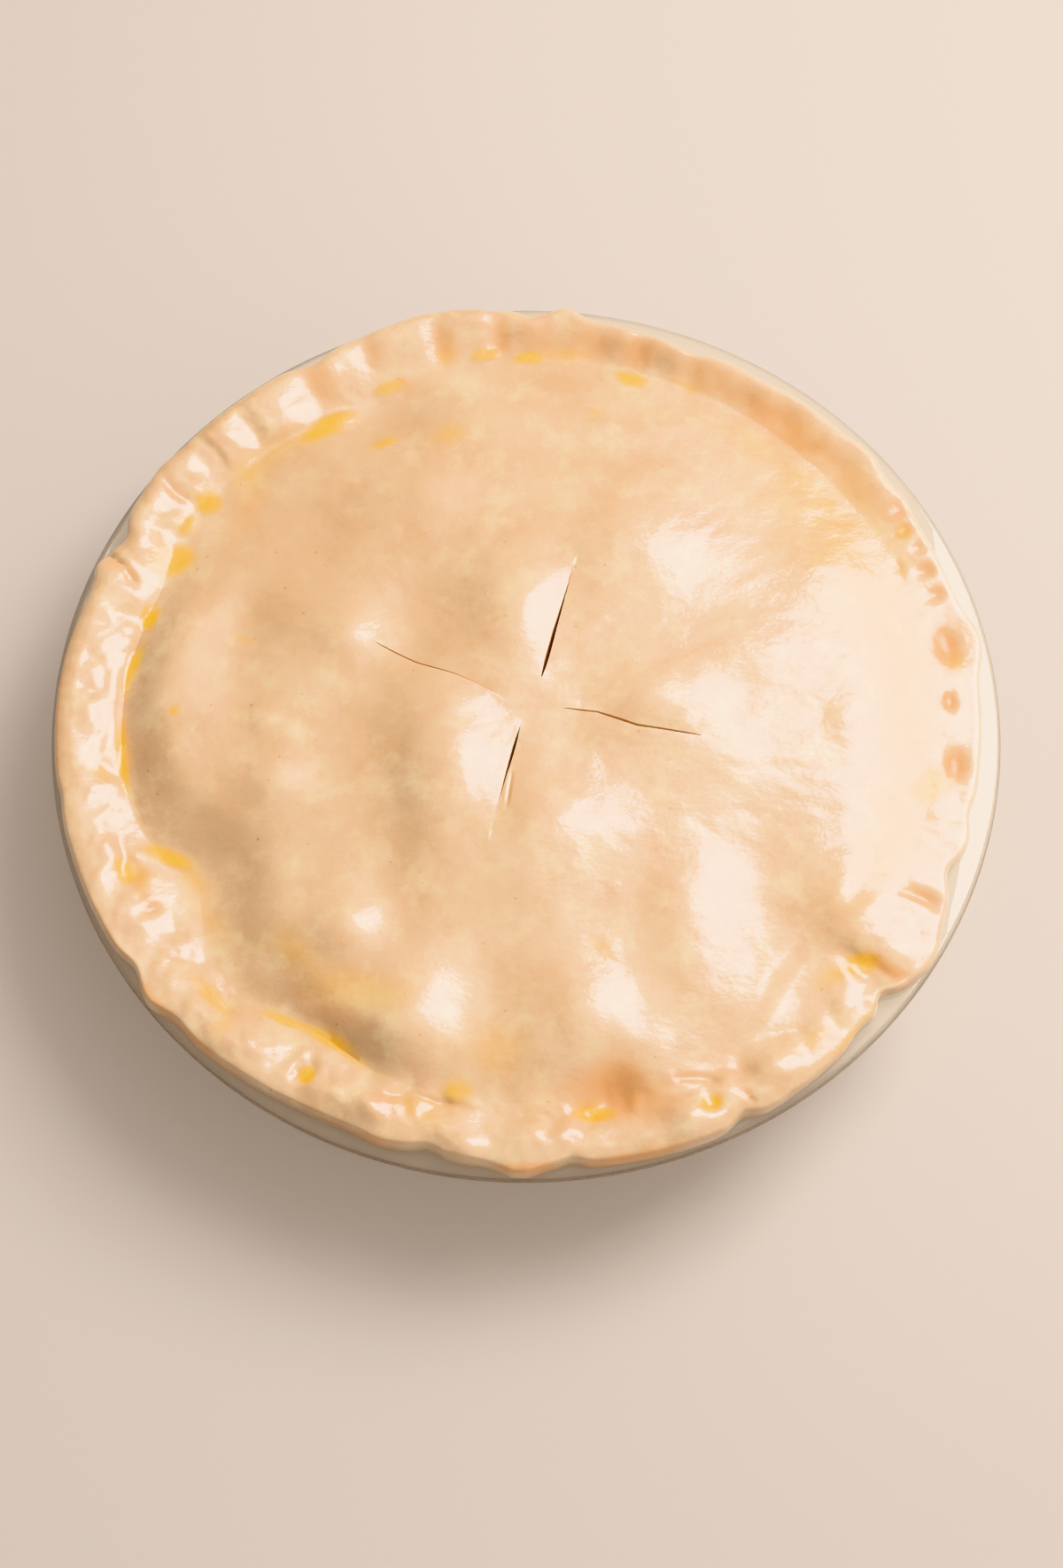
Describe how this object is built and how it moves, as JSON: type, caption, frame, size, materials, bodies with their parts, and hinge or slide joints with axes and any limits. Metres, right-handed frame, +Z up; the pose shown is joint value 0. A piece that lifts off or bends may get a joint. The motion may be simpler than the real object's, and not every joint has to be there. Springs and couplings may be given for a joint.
{
  "type": "pot pie in a glass dish",
  "caption": "Round raw-dough pot pie with a pinched rim and a pinwheel of vents over a beef filling, in a clear glass pie dish.",
  "frame": {"origin": "middle of the glass dish's flat underside", "axes": "+Z up through the middle of the pie, -Y towards the near side, where the shorter near vent points; +X to the right"},
  "size_m": [0.245, 0.245, 0.053],
  "materials": {
    "glass": "clear pressed glass, smooth",
    "dough": "raw wheat dough brushed with egg wash, glossy, with yellow pools of egg in its hollows",
    "filling": "dark red-brown beef in gravy, wet"
  },
  "bodies": {
    "root": {"glass_pie_dish": "glass", "pastry_crust": "dough", "beef_filling": "filling"}
  },
  "joints": []
}
